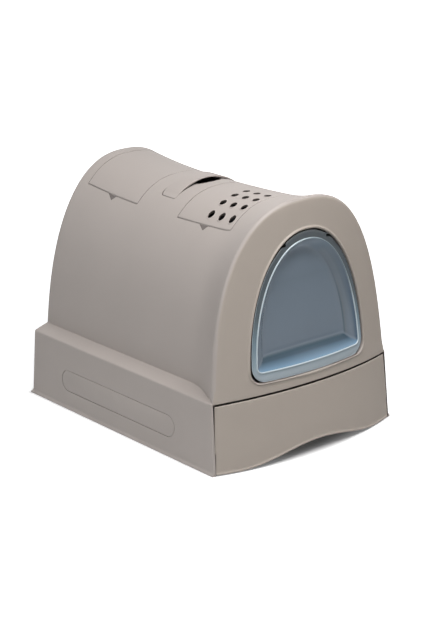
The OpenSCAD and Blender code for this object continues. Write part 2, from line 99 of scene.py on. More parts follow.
def arch_x(z, sec):
    w, k, m, z0, top = sec
    t = min(1.0, max(0.0, (z - z0) / (top - z0)))
    return (w - k * (z - z0)) * (1 - t ** m) ** (1 / m)


def roof_z(x, y):
    w, k, m, z0, top = section(y)
    z = top
    for _ in range(12):
        r = min(1.0, abs(x) / (w - k * (z - z0)))
        z = z0 + (top - z0) * (1 - r ** m) ** (1 / m)
    return z


def crease(sec):
    """Height where the roof's side meets the sloping shoulder."""
    low, high = 120.4, 135.0
    for _ in range(40):
        z = (low + high) / 2
        on_shoulder = SKIRT_TOP - (z - SKIRT_H) * SHOULDER_RUN / SHOULDER_RISE
        if arch_x(z, sec) < on_shoulder:
            low = z
        else:
            high = z
    return low


def bezier(a, corner, b, t):
    return a * (1 - t) ** 2 + corner * 2 * t * (1 - t) + b * t * t


ARCH_N = 56
WALL_Z = [0, 12, 28, 48, 70, 92, 108]


def half_profile(y):
    """The hood's right half at a station: up the skirt, over the shoulder, up to the ridge."""
    sec = section(y)
    zc = crease(sec)
    foot = np.array([arch_x(zc, sec), zc])
    corner = np.array([SKIRT_TOP, SKIRT_H])
    low = np.array([SKIRT_LOW, 0.0])
    pts = [low + (corner - low) * (z / SKIRT_H) for z in WALL_Z]
    reach = min(3.0, 0.4 * np.linalg.norm(foot - corner))
    a = corner + (low - corner) / np.linalg.norm(low - corner) * reach
    b = corner + (foot - corner) / np.linalg.norm(foot - corner) * reach
    pts += [bezier(a, corner, b, t) for t in (0, 0.25, 0.5, 0.75, 1)]
    pts += [b + (foot - b) * t for t in (0.3, 0.6, 0.85, 1.0)]
    w, k, m, z0, top = sec
    a0 = math.asin(((zc - z0) / (top - z0)) ** (m / 2))
    for i in range(1, ARCH_N + 1):
        a = a0 + (math.pi / 2 - a0) * (i / ARCH_N) ** 0.95
        z = z0 + (top - z0) * math.sin(a) ** (2 / m)
        pts.append(np.array([(w - k * (z - z0)) * max(0.0, math.cos(a)) ** (2 / m), z]))
    return np.array(pts)


FOOT_I = len(WALL_Z) + 5 + 4 - 1


def full_profile(y):
    right = half_profile(y)
    left = right[:-1][::-1] * np.array([-1, 1])
    return np.vstack([right, left])


# Mesh helpers; shapes are drawn in millimetres

def mesh_object(name, verts, faces, smooth=35):
    me = bpy.data.meshes.new(name)
    me.from_pydata((np.asarray(verts, float) * MM).tolist(), [], faces)
    me.validate()
    me.update()
    o = bpy.data.objects.new(name, me)
    bpy.context.scene.collection.objects.link(o)
    if smooth:
        soften(o, smooth)
    return o


def soften(o, angle=35):
    o.data.shade_smooth()
    o.data.set_sharp_from_angle(angle=math.radians(angle))
    return o


def grid_faces(rows, cols, close=False, start=0):
    out = []
    for i in range(rows - 1):
        for j in range(cols if close else cols - 1):
            k = (j + 1) % cols
            a, b = start + i * cols, start + (i + 1) * cols
            out.append((a + j, a + k, b + k, b + j))
    return out


def slab_faces(nx, ny):
    """Faces of a sheet of nx by ny points and a second layer of them, closed round the rim."""
    k = nx * ny
    faces = grid_faces(nx, ny) + [tuple(reversed(f)) for f in grid_faces(nx, ny, start=k)]
    rim = [i * ny for i in range(nx)] + [(nx - 1) * ny + j for j in range(1, ny)]
    rim += [i * ny + ny - 1 for i in range(nx - 2, -1, -1)] + list(range(ny - 2, 0, -1))
    return faces + [(a, b, b + k, a + k) for a, b in zip(rim, rim[1:] + rim[:1])]


def loft(name, loops, cap_start=True, cap_end=True, smooth=35):
    """Closed loops of points, one after another, with a flat face on each end."""
    n = len(loops[0])
    verts = np.vstack([np.asarray(loop, float) for loop in loops])
    faces = grid_faces(len(loops), n, True)
    if cap_start:
        faces.append(tuple(range(n))[::-1])
    if cap_end:
        faces.append(tuple(range((len(loops) - 1) * n, len(loops) * n)))
    o = mesh_object(name, verts, faces, 0)
    fix_normals(o)
    return soften(o, smooth) if smooth else o


def fix_normals(o):
    bm = bmesh.new()
    bm.from_mesh(o.data)
    bmesh.ops.remove_doubles(bm, verts=bm.verts, dist=1e-6)
    bmesh.ops.recalc_face_normals(bm, faces=bm.faces)
    bm.to_mesh(o.data)
    bm.free()
    return o


def apply_modifiers(o):
    dg = bpy.context.evaluated_depsgraph_get()
    me = bpy.data.meshes.new_from_object(o.evaluated_get(dg))
    o.modifiers.clear()
    old = o.data
    o.data = me
    me.name = o.name
    bpy.data.meshes.remove(old)
    return o


def thicken(o, thickness):
    m = o.modifiers.new("wall", "SOLIDIFY")
    m.thickness = thickness * MM
    m.offset = -1
    m.use_even_offset = False
    return apply_modifiers(o)


def cut(o, tools, operation="DIFFERENCE"):
    for tool in tools:
        m = o.modifiers.new("cut", "BOOLEAN")
        m.operation = operation
        m.solver = "EXACT"
        m.object = tool
    apply_modifiers(o)
    for tool in tools:
        bpy.data.objects.remove(tool)
    return o


def join(name, objs):
    first = objs[0]
    with bpy.context.temp_override(active_object=first, selected_editable_objects=objs, object=first):
        bpy.ops.object.join()
    first.name = name
    first.data.name = name
    return first


def rounded_outline(w, l, r, n=8, centre=(0, 0)):
    pts = []
    for cx, cy, a0 in ((1, 1, 0), (-1, 1, 90), (-1, -1, 180), (1, -1, 270)):
        for i in range(n + 1):
            a = math.radians(a0 + 90 * i / n)
            pts.append((centre[0] + cx * (w / 2 - r) + r * math.cos(a), centre[1] + cy * (l / 2 - r) + r * math.sin(a)))
    return pts


def prism(name, outline, z0, z1):
    return loft(name, [[(x, y, z0) for x, y in outline], [(x, y, z1) for x, y in outline]], smooth=0)


def rod(name, centre, axis, radius, length, n=32, edge=0.0):
    """A round bar through centre along an axis, with softened ends."""
    a = Vector(axis).normalized()
    u = a.orthogonal().normalized()
    v = a.cross(u)
    steps = [(-length / 2, radius)] if not edge else [(-length / 2, radius - edge), (-length / 2 + edge, radius)]
    steps += [(-s, r) for s, r in reversed(steps)]
    loops = []
    for s, r in steps:
        loops.append([tuple(Vector(centre) + a * s + (u * math.cos(t) + v * math.sin(t)) * r)
                      for t in (2 * math.pi * i / n for i in range(n))])
    return loft(name, loops)


def box(name, low, high, r=0.0, edge=0.0):
    w, l = high[0] - low[0], high[1] - low[1]
    c = ((low[0] + high[0]) / 2, (low[1] + high[1]) / 2)
    r = max(r, 0.01, edge)
    rings = []
    steps = [(low[2], 0)] if not edge else [(low[2], edge), (low[2] + edge * 0.3, edge * 0.3), (low[2] + edge, 0)]
    steps += [(low[2] + high[2] - z, d) for z, d in reversed(steps)]
    for z, d in steps:
        rings.append([(x, y, z) for x, y in rounded_outline(w - 2 * d, l - 2 * d, max(r - d, 0.005), 5, c)])
    return loft(name, rings)


# Hood

# Raised lip round the doorway: distance before its edge, depth behind the face
LIP = [(5.4, 0), (4.9, -0.25), (4.3, -0.9), (3.6, -1.6), (2.9, -1.95), (2.1, -1.9), (1.4, -1.5),
       (0.7, -0.8), (0.2, 0.1), (0, 1.2), (0, 4.0), (0, 7.0)]


def profile_table():
    ys = np.unique(np.concatenate([np.linspace(-285, FLARE_START, 60), np.linspace(FLARE_START, 275, 60)]))
    return ys, np.stack([full_profile(y) for y in ys])


def at_stations(ys, table, want):
    """Profile points, each taken at its own station."""
    n = table.shape[1]
    out = np.zeros((n, 2))
    for d in (0, 1):
        for p in range(n):
            out[p, d] = np.interp(want[p], ys, table[:, p, d])
    return out


def doorway_half(margin, n, lift=0.0, side=0.0, rounder=0.0, drop=0.0):
    """Right half of the doorway from the middle of its foot to its top, shrunk by a margin."""
    w = DOORWAY_HALF - margin - side
    top, low = DOORWAY_TOP - margin - drop, DOORWAY_LOW + margin + lift
    r = max(5.0, DOORWAY_CORNER - 1.1 * margin) + rounder
    spring = low + r
    pts = [(w - r + r * math.sin(math.radians(a)), spring - r * math.cos(math.radians(a))) for a in range(0, 91, 5)]
    for i in range(1, 81):
        a = math.pi / 2 * i / 80
        z = spring + (top - spring) * math.sin(a) ** (2 / DOORWAY_POWER)
        x = (w - DOORWAY_TAPER * (z - spring)) * max(0.0, math.cos(a)) ** (2 / DOORWAY_POWER)
        pts.append((x, z))
    return np.array(pts)


def resample(pts, n, a=0.0, b=1.0):
    d = np.concatenate([[0], np.cumsum(np.linalg.norm(np.diff(pts, axis=0), axis=1))])
    want = np.linspace(a, b, n) * d[-1]
    return np.stack([np.interp(want, d, pts[:, i]) for i in range(pts.shape[1])], axis=1)


def doorway_loop(margin, half_n, foot_n, lift=0.0, side=0.0, rounder=0.0, drop=0.0):
    """Closed doorway outline: right corner, over the top, left corner, then back along the foot."""
    half = doorway_half(margin, half_n, lift, side, rounder, drop)
    corner_at = 9
    side = resample(half[corner_at:], half_n)
    foot_half = resample(np.vstack([[(0, half[0][1])], half[:corner_at + 1]]), foot_n // 2 + 1)
    left = side[:-1][::-1] * np.array([-1, 1])
    foot_left = foot_half[::-1][1:] * np.array([-1, 1])
    foot_right = foot_half[1:-1]
    return np.vstack([side, left, foot_left, foot_right])


def hood_skin():
    ys, table = profile_table()
    n = table.shape[1]
    foot_a, foot_b = FOOT_I, n - 1 - FOOT_I
    arch = np.arange(foot_a, foot_b + 1)
    front = np.full(n, FLARE_END)
    for _ in range(12):
        pts = at_stations(ys, table, front)
        front = face_y(pts[:, 0], pts[:, 1])
    corner = at_stations(ys, table, front)
    grow = np.clip((corner[:, 1] - 121) / 14, 0, 1)
    reach = np.where((np.arange(n) >= foot_a) & (np.arange(n) <= foot_b), 3.6 + 5.4 * grow, 3.6)
    s_list = np.concatenate([np.linspace(0, 0.30, 26), np.linspace(0.30, 1.0, 52)[1:]])
    rows = []
    for s in s_list:
        y = front + reach
        for _ in range(5):
            pts = at_stations(ys, table, y)
            back = rear_y(pts[:, 1]) - 3
            y = front + reach + (back - front - reach) * s
        rows.append(np.column_stack([pts[:, 0], y, pts[:, 1]]))
    verts = np.vstack(rows)
    faces = grid_faces(len(rows), n)
    # Rear edge and back wall
    last = rows[-1]
    turn = []
    for t in (0.3, 0.6, 1.0):
        ring = []
        for p in last:
            c = np.array([p[0], rear_y(p[2]), p[2]])
            aim = np.array([0.0, min(p[2], 200.0)])
            inward = aim - np.array([p[0], p[2]])
            inward = inward / max(1e-9, np.linalg.norm(inward)) * 3
            b = np.array([p[0] + inward[0], 0, p[2] + inward[1]])
            b[1] = rear_y(b[2])
            ring.append(bezier(p, c, b, t))
        turn.append(np.array(ring))
    base = len(verts) - n
    verts = np.vstack([verts] + turn)
    faces += [(base + i * n + j, base + i * n + j + 1, base + (i + 1) * n + j + 1, base + (i + 1) * n + j)
              for i in range(3) for j in range(n - 1)]
    faces.append(tuple(range(base + 3 * n, base + 4 * n)))
    # Front edge, face and doorway
    verts, faces = add_face(verts, faces, rows[0], corner, front, arch, reach)
    verts, faces = add_skirt_ends(verts, faces, rows[0], corner, front, foot_a, foot_b)
    return verts, faces


def add_face(verts, faces, first, corner, front, arch, reach):
    """Front face from the bead round its edge to the lip of the doorway."""
    foot_n = 34
    xs = np.linspace(-FACE_HALF, FACE_HALF, foot_n - 1)
    foot = [np.array([x, float(face_y(x, FACE_END_Z + crown(x))), FACE_END_Z + crown(x)]) for x in xs]
    out = [np.array([corner[i, 0], front[i], corner[i, 1]]) for i in arch] + foot
    start = [first[i] for i in arch] + [p + np.array([0, 4.0, 0]) for p in foot]
    size = [reach[i] for i in arch] + [1.2] * foot_n
    door = doorway_loop(0, ARCH_N + 1, foot_n)
    loops = [[] for _ in range(9 + 5 + len(LIP))]
    for i, (c, s, r, q) in enumerate(zip(out, start, size, door)):
        flat = np.array([q[0] - c[0], q[1] - c[2]])
        flat_len = np.linalg.norm(flat)
        d = flat / flat_len

        def on_face(t):
            x, z = c[0] + d[0] * t, c[2] + d[1] * t
            return np.array([x, float(face_y(x, z)), z])
        back = s if i < len(arch) else np.array([s[0], c[1] + r, s[2]])
        col = [s] + [bezier(back, c, on_face(r), t) for t in (0.001, 0.15, 0.3, 0.5, 0.7, 0.85, 1.0)]
        stop = flat_len - LIP[0][0]
        col += [on_face(r + (stop - r) * t) for t in (0.12, 0.28, 0.46, 0.64, 0.82, 0.95)]
        col += [on_face(flat_len - before) + np.array([0, deep, 0]) for before, deep in LIP]
        for k, v in enumerate(col):
            loops[k].append(v)
    base = len(verts)
    verts = np.vstack([verts] + [np.array(loop) for loop in loops])
    return verts, faces + grid_faces(len(loops), len(out), True, base)


def add_skirt_ends(verts, faces, first, corner, front, foot_a, foot_b):
    """Rounded front ends of the skirt walls, beside the drawer front."""
    n = len(first)
    for ids in (range(0, foot_a + 1), range(foot_b, n)):
        loops = [[] for _ in range(7)]
        for i in ids:
            x0, z = corner[i]
            side = math.copysign(1, x0)
            run = min(2.9, max(0.05, abs(x0) - FACE_HALF)) if z > FACE_END_Z else 2.9
            x1 = x0 - side * run
            end = np.array([x1, float(face_y(x1, z)), z])
            c = np.array([x0, front[i], z])
            col = [first[i]] + [bezier(first[i], c, end, t) for t in (0.2, 0.4, 0.6, 0.8, 0.92, 1.0)]
            for k, v in enumerate(col):
                loops[k].append(v)
        base = len(verts)
        verts = np.vstack([verts] + [np.array(loop) for loop in loops])
        faces = faces + grid_faces(7, len(ids), False, base)
    return verts, faces


def plan_box(front, back, gap):
    """Plan of a lid's opening, with a wider seam at its left and its front."""
    w, l = 2 * (LID_HALF + gap) + 0.6, back - front + 2 * gap + 0.5
    return rounded_outline(w, l, 2.0, 4, (-0.3, (front + back) / 2 - 0.25))


def notch_cutter(front, back):
    y = (front + back) / 2
    return prism("notch", [(-94, y - 16), (-94, y + 16), (-102.4, y - 4.2), (-102.4, y - 5.8)], 345, 430)


def make_notch_facets():
    """Sloping floors of the finger notches beside the lids."""
    verts, faces = [], []
    for front, back in LIDS.values():
        mid = (front + back) / 2
        base = len(verts)
        corners = [(-102.8, mid - 5, 0.7), (-93.8, mid - 16.4, 1.6), (-93.8, mid + 16.4, 1.6), (-93.6, mid, 3.4)]
        for x, y, drop in corners:
            z = roof_z(x, y) - drop
            verts += [(x, y, z), (x, y, z - 0.8)]
        shape = [(0, 2, 6), (0, 6, 4), (1, 7, 3), (1, 5, 7), (0, 1, 3, 2), (0, 4, 5, 1), (2, 3, 7, 6), (4, 6, 7, 5)]
        faces += [tuple(base + i for i in face) for face in shape]
    return fix_normals(mesh_object("notch_facets", verts, faces, 0))


def strap_plan(grow, half=STRAP_HALF, slot=1.7):
    """Plan of the strap's hole: sharp in front, rounded behind, with the finger bay along its front."""
    w, back, front = half + grow, STRAP_FRONT + STRAP_W + grow, STRAP_FRONT - grow - (slot - LID_GAP)
    r = STRAP_R + grow
    pts = []
    for side, a0 in ((1, 0), (-1, 90)):
        for i in range(9):
            a = math.radians(a0 + 90 * i / 8)
            pts.append((side * (w - r) + r * math.cos(a), back - r + r * math.sin(a)))
    pts += [(-w, front + 1.5), (-w + 0.5, front + 0.5), (-w + 1.5, front)]
    bay = 25 + grow
    pts += [(-bay * math.cos(math.pi * i / 32), front - 9.6 * math.sin(math.pi * i / 32)) for i in range(33)]
    return pts + [(w - 1.5, front), (w - 0.5, front + 0.5), (w, front + 1.5)]


def make_hood():
    verts, faces = hood_skin()
    hood = mesh_object("hood", verts, faces, 0)
    fix_normals(hood)
    hood = thicken(hood, 3.0)
    tools = []
    for front, back in LIDS.values():
        tools.append(prism("opening", plan_box(front, back, LID_GAP), 330, 460))
        tools.append(notch_cutter(front, back))
    tools.append(prism("pocket", strap_plan(STRAP_GAP), 350, 460))
    for side in (-1, 1):
        tools.append(inlay_solid("seat", side, 0.45, 1.6, 2.0, 0))
    cut(hood, tools)
    return soften(hood, 32)


def make_rim():
    """Ring that stands out round the foot of the walls."""
    shape = [(-2.6, 0.2), (-2.0, 0.0), (2.1, 0.0), (2.5, 0.4), (2.5, 2.0), (2.2, 2.8), (1.5, 3.4),
             (0.8, 4.0), (0.3, 5.0), (-0.1, 6.4), (-2.6, 6.6)]
    path = []
    for side in (1, -1):
        leg = [(side * SKIRT_LOW, y) for y in (float(face_y(SKIRT_LOW, 3)) + 0.6, -120, 0, 120)]
        leg += [(side * SKIRT_LOW, REAR_Y)]
        path += leg if side == 1 else leg[::-1]
    loops = []
    for x, y in path:
        side = math.copysign(1, x)
        corner = y > REAR_Y - 1
        loops.append([(x + side * d, y + (d if corner else 0.0), z) for d, z in shape])
    return loft("foot_rim", loops, smooth=30)


# Side inlays

def stadium(length, height, grow, n=20):
    r = height / 2 + grow
    run = (length - height) / 2
    pts = []
    for s, a0 in ((1, -90), (-1, 90)):
        for i in range(n + 1):
            a = math.radians(a0 + 180 * i / n)
            pts.append((s * run + r * math.cos(a), r * math.sin(a)))
    return pts


def inlay_solid(name, side, grow, depth, above, edge):
    """A stadium plate lying in a skirt wall; u runs along the box and v up the wall."""
    tilt = math.atan((SKIRT_LOW - SKIRT_TOP) / SKIRT_H)
    x0 = SKIRT_LOW - (SKIRT_LOW - SKIRT_TOP) * INLAY_Z / SKIRT_H

    def place(u, v, out):
        x = x0 - v * math.sin(tilt) + out * math.cos(tilt)
        return (side * x, INLAY_Y + u, INLAY_Z + v * math.cos(tilt) + out * math.sin(tilt))
    rounded = [(above - edge, 0.0), (above - edge * 0.3, edge * 0.3), (above, edge)]
    steps = [(-depth, 0.0)] + (rounded if edge else [(above, 0.0)])
    loops = [[place(u, v, out) for u, v in stadium(INLAY_L, INLAY_H, grow - d)] for out, d in steps]
    return loft(name, loops, smooth=30 if edge else 0)


# Compartments and handle

def roof_skirt(outline, drop):
    return [(x, y, roof_z(x, y) - drop) for x, y in outline]


def dense(outline, step=6.0):
    pts = []
    for (x0, y0), (x1, y1) in zip(outline, outline[1:] + outline[:1]):
        k = max(1, int(math.hypot(x1 - x0, y1 - y0) / step))
        pts += [(x0 + (x1 - x0) * i / k, y0 + (y1 - y0) * i / k) for i in range(k)]
    return pts


def slant_block(name, x0, x1, y0, y1, low, drop):
    """A block that stands on a floor and ends a little under the roof."""
    verts = [(x, y, low) for x, y in ((x0, y0), (x1, y0), (x1, y1), (x0, y1))]
    verts += [(x, y, roof_z(x, y) - drop) for x, y, _ in verts]
    faces = [(0, 3, 2, 1), (4, 5, 6, 7), (0, 1, 5, 4), (1, 2, 6, 5), (2, 3, 7, 6), (3, 0, 4, 7)]
    return fix_normals(mesh_object(name, verts, faces, 0))


def make_well(name, front, back, floor, slots):
    mid = (front + back) / 2
    outer = dense(rounded_outline(208, back - front + 6, 2, 4, (0, mid)))
    inner = [(x * (1 - 2 / 104), y + (2 if y < mid else -2) * min(1, abs(y - mid) / 10)) for x, y in outer]
    loops = [[(x, y, floor - 2) for x, y in outer], roof_skirt(outer, 3.4), roof_skirt(inner, 3.4),
             [(x, y, floor) for x, y in inner]]
    o = loft(name, loops, smooth=40)
    if slots:
        plans = [rounded_outline(8, 70, 3.9, 6, ((i - 2) * 22.0, mid)) for i in range(5)]
        cut(o, [prism("slot", plan, floor - 10, floor + 6) for plan in plans])
    tabs = [slant_block("tab", -92, -82, y, y + 8, floor - 1, 3.4) for y in (front - 2.9, back - 5.1)]
    return soften(join(name, [o] + tabs), 40)


def make_bowl():
    """Bowl under the strap, with a ledge under each of the strap's ends."""
    outer, inner, deep = strap_plan(STRAP_GAP + 2.2), strap_plan(STRAP_GAP), strap_plan(STRAP_GAP, STRAP_HALF - 8)
    loops = [[(x, y, 371) for x, y in outer], roof_skirt(outer, 2.0), roof_skirt(inner, 2.0), roof_skirt(inner, 5.5),
             roof_skirt(deep, 5.5), [(x, y, 373.5) for x, y in deep]]
    return loft("strap_bowl", loops, smooth=40)


def strap_lift(x):
    """Rise of the strap's top over the roof, and of its lower edge."""
    top = 6.3 * math.cos(math.pi / 2 * min(1.0, abs(x) / 64)) ** 0.8
    into_bowl = min(1.0, max(0.0, (abs(x) - 52) / 8))
    return top, 4.6 * math.cos(math.pi / 2 * min(1.0, abs(x) / 54)) ** 2 - 0.3 - 4.3 * into_bowl


def make_strap():
    """Carry strap: a band that bows up from the roof, rounded behind at its ends."""
    front, back = STRAP_FRONT, STRAP_FRONT + STRAP_W
    end = [66, 67.5, 69, 70, 71, 71.5, 71.85, 72]
    xs = np.concatenate([[-x for x in reversed(end)], np.linspace(-64, 64, 81), end])
    loops = []
    for x in xs:
        over = max(0.0, abs(x) - (STRAP_HALF - STRAP_R))
        y1 = back - (STRAP_R - math.sqrt(max(0.0, STRAP_R ** 2 - over ** 2)))
        tip = max(0.0, abs(x) - (STRAP_HALF - 1.2))
        y0 = front + (1.2 - math.sqrt(max(0.0, 1.44 - tip ** 2)))
        (lift, under), r = strap_lift(x), 0.95
        ring = []
        for y_in, way, cz, a0 in ((y1, -1, 1, 0), (y0, 1, 1, 90), (y0, 1, -1, 180), (y1, -1, -1, 270)):
            for k in range(6):
                a = math.radians(a0 + 90 * k / 5)
                y = y_in + way * r + r * math.cos(a)
                edge = lift - r if cz > 0 else under + r
                ring.append((x, y, roof_z(x, y) + edge + r * math.sin(a)))
        loops.append(ring)
    return loft("carry_strap", loops, smooth=50)


def make_pad():
    front, back = LIDS["filter_lid"]
    low_z = WELL_FLOORS["filter_lid"] + 0.4
    nx, ny = 60, 50
    xs, ys = np.linspace(-70, 70, nx), np.linspace(front + 7, back - 7, ny)
    rng = np.random.default_rng(4)
    top, low = [], []
    for i, x in enumerate(xs):
        for j, y in enumerate(ys):
            edge = min(1.0, min(i, nx - 1 - i, j, ny - 1 - j) / 3)
            top.append((x, y, low_z + 7 + 4.5 * edge ** 0.5 + rng.uniform(-0.25, 0.25)))
            low.append((x, y, low_z))
    return fix_normals(mesh_object("carbon_pad", top + low, slab_faces(nx, ny), 40))


def make_scoop():
    floor, mid = WELL_FLOORS["storage_lid"] + 0.4, sum(LIDS["storage_lid"]) / 2
    blade = box("litter_scoop_tool", (-78, mid - 46, floor), (6, mid + 46, floor + 22), 10, 1.2)
    hollow = box("hollow", (-90, mid - 44, floor + 2), (4, mid + 44, floor + 60), 8, 0)
    plans = [rounded_outline(64, 6, 2.9, 6, (-38, mid + i * 11.5)) for i in range(-3, 4)]
    cut(blade, [hollow] + [prism("slot", plan, floor - 5, floor + 5) for plan in plans])
    grip = box("grip", (3, mid - 11, floor), (76, mid + 11, floor + 9), 10, 3)
    eye = prism("eye", rounded_outline(12, 9, 4, 6, (66, mid)), floor - 5, floor + 20)
    cut(grip, [eye])
    return soften(join("litter_scoop_tool", [blade, grip]), 35)


def make_pan():
    low = -FLOOR_L + 48
    outline = lambda d: rounded_outline(387 - 2 * d, 490 - 2 * d, max(1.0, 3 - d), 4, (0, low + 245))
    steps = [(4, 0), (16, 0), (16, 2), (7, 2)]
    pan = loft("floor_pan", [[(x, y, z) for x, y in outline(d)] for z, d in steps], smooth=30)
    cut(pan, [box("way_out", (-182, low - 5, 7), (182, low + 6, 30))])
    more = [box("runner", (s * 110 - 7, low + 12, 6.9), (s * 110 + 7, 250, 9.7), 1, 0.4) for s in (-1, 1)]
    more += [rod("foot", (s * 110, y, 2.05), (0, 0, 1), 14, 4.1, 40, 0.8) for s in (-1, 1) for y in (low + 40, 226)]
    return soften(join("floor_pan", [pan] + more), 30)


# Roof lids

def lid_patch(name, front, back):
    edge = 0.8
    inset = [0, 0.1, 0.28, 0.6, 1.0]
    span = lambda a, b, n: ([a + edge * t for t in inset] + list(np.linspace(a + edge, b - edge, n))[1:-1]
                            + [b - edge * t for t in reversed(inset)])
    xs, ys = span(-LID_HALF, LID_HALF, 72), span(front, back, 44)
    nx, ny = len(xs), len(ys)
    top, low = [], []
    for x in xs:
        for y in ys:
            d = min(x + LID_HALF, LID_HALF - x, y - front, back - y)
            drop = edge - math.sqrt(max(0.0, edge ** 2 - max(0.0, edge - d) ** 2))
            z = roof_z(x, y)
            if abs(x) < LID_HALF - 0.6:
                slope = roof_z(x + 0.5, y) - roof_z(x - 0.5, y)
            else:
                slope = z - roof_z(x - math.copysign(1, x), y)
            deep = 2.4 * math.sqrt(1 + min(9.0, slope * slope))
            top.append((x, y, z - drop))
            low.append((x, y, z - deep))
    return fix_normals(mesh_object(name, top + low, slab_faces(nx, ny), 0))


def vent_lip(x, y):
    """Raised lip round a vent hole, square to the roof."""
    out = Vector((roof_z(x - 1, y) - roof_z(x + 1, y), roof_z(x, y - 1) - roof_z(x, y + 1), 2)).normalized()
    loops = []
    for up, r in ((-1.6, 5.8), (0.1, 5.9), (0.55, 6.2), (0.75, 6.7), (0.55, 7.3), (-0.1, 8.1), (-1.6, 8.3)):
        loop = []
        for i in range(48):
            a = 2 * math.pi * i / 48
            flat = Vector((math.cos(a), math.sin(a), 0)) * r
            flat.z = -(flat.x * out.x + flat.y * out.y) / out.z
            loop.append(tuple(Vector((x, y, roof_z(x, y))) + flat + out * up))
        loops.append(loop)
    loops.append(loops[0])
    return loft("lip", loops, False, False, smooth=0)


def make_lid(name, front, back):
    """Lid with its lugs and pins; the hinge leans with the roof's side."""
    lid = lid_patch(name, front, back)
    if name == "filter_lid":
        cut(lid, [rod("vent", (x, y, 390), (0, 0, 1), 6.5, 120, 48) for x, y in VENTS])
    low, high = (roof_z(LID_AXIS_X, y) - LID_AXIS_DROP for y in (front, back))
    lean = (high - low) / (back - front)
    axis = (0, 1, lean)
    more = [vent_lip(x, y) for x, y in VENTS] if name == "filter_lid" else []
    for end, way in ((front, 1), (back, -1)):
        lug_y, pin_y = end + way * 3.0, end - way * 0.5
        z = low + lean * (lug_y - front)
        more.append(rod("lug", (LID_AXIS_X, lug_y, z), axis, 4.3, 2.8, 32, 0.3))
        more.append(box("web", (LID_AXIS_X - 4.3, lug_y - 1.4, z), (LID_AXIS_X + 4.3, lug_y + 1.4, z + 3.2)))
        more.append(rod("pin", (LID_AXIS_X, pin_y, low + lean * (pin_y - front)), axis, 2.0, 4.2, 24, 0.3))
    return soften(join(name + "_cover", [soften(lid, 32)] + more), 32)


# Drawer

def drawer_low_z(x):
    return 1.4 + 21.6 * math.cos(math.pi / 2 * min(1.0, abs(x) / FINGER_HALF)) ** 2


# Drawer panel's foot: height over its lower edge, depth behind the face; a lip stands out along it
DRAWER_FOOT = [(0, 1.7), (0.15, 0.9), (0.5, 0.3), (1.1, 0), (2.0, 0), (2.6, 0.2), (3.2, 0.7), (3.7, 1.1),
               (4.6, 1.3), (7, 1.2), (12, 0.8), (18, 0.4), (26, 0.1), (34, 0)]
DRAWER_HEAD = [(1.6, 0), (1.0, 0.11), (0.45, 0.48), (0.15, 0.92), (0, 1.6)]


def make_drawer_front():
    """Bowed panel with a wavy foot and softened edges, carried on ribs and a shelf."""
    top_half, low_half, edge = 188.3, 193.4, 1.6
    inset = np.array([0, 0.1, 0.3, 0.6, 1.0]) * edge
    u_list = [(-1, d) for d in inset] + [(u, None) for u in np.linspace(-1, 1, 90)[1:-1]]
    u_list += [(1, d) for d in inset[::-1]]
    v_list = DRAWER_FOOT + [(v, None) for v in np.linspace(0, 1, 14)[1:-1]] + DRAWER_HEAD
    foot_n, foot_top, head = len(DRAWER_FOOT), DRAWER_FOOT[-1][0], DRAWER_HEAD[0][0]
    front_pts, back_pts = [], []
    for u, du in u_list:
        side = edge - math.sqrt(max(0.0, edge ** 2 - (edge - min(edge, edge if du is None else du)) ** 2))
        for j, (v, deep) in enumerate(v_list):
            share = (v / 113 if j < foot_n else v) if deep is None or j < foot_n else 1.0
            half = low_half + (top_half - low_half) * share
            x = (half - edge) * u if du is None else math.copysign(half - du, u)
            low, high = drawer_low_z(x), DRAWER_END_Z + crown(x)
            if deep is None:
                z, back = low + foot_top + (high - low - foot_top - head) * v, 0.0
            else:
                z, back = (low + v if j < foot_n else high - v), deep
            y = float(face_y(x, z))
            front_pts.append((x, y + max(side, back), z))
            back_pts.append((x, y + 3.4, z))
    faces = slab_faces(len(u_list), len(v_list))
    panel = fix_normals(mesh_object("drawer_panel", front_pts + back_pts, faces, 0))
    webs = []
    for x in (-160, -53.3, 53.3, 160):
        webs.append(box("web", (x - 1.25, float(face_y(x, 107)) + 2.6, 43), (x + 1.25, -217.2, 105.4), 0.2))
    bow = [(x, float(face_y(x, 107)) + 2.8) for x in np.linspace(-161, 161, 24)]
    webs.append(prism("shelf", [(161, -217), (-161, -217)] + bow, 105, 107.4))
    return soften(join("drawer_panel", [panel] + webs), 40)


def make_tray():
    width, front, back = 374.2, -224.5, 252.9
    mid, length = (front + back) / 2, back - front

    def ring(z, w_in, r):
        return [(x, y, z) for x, y in rounded_outline(width - 2 * w_in, length - 2 * w_in, r, 10, (0, mid))]
    loops = [ring(10.0, 17.5, 26), ring(11.5, 16.2, 28), ring(14, 15.8, 29), ring(60, 12, 30), ring(106.8, 8.2, 31),
             ring(107.6, 7.0, 32), ring(107.6, 0.6, 34), ring(108.2, 0, 34), ring(109.4, 0, 34), ring(110, 0.6, 34),
             ring(110, 9.6, 30), ring(109.2, 10.6, 29), ring(60, 14.5, 28), ring(16, 18.2, 27), ring(13.4, 20, 25),
             ring(12.5, 23, 22)]
    return loft("litter_tray", loops, smooth=40)


# Swing door

def ease(t):
    t = min(1.0, max(0.0, t))
    return t * t * (3 - 2 * t)


def hinge_y():
    """Where the door's pins lie, a little behind the face."""
    return float(face_y(HINGE_X, HINGE_Z)) + HINGE_DEPTH


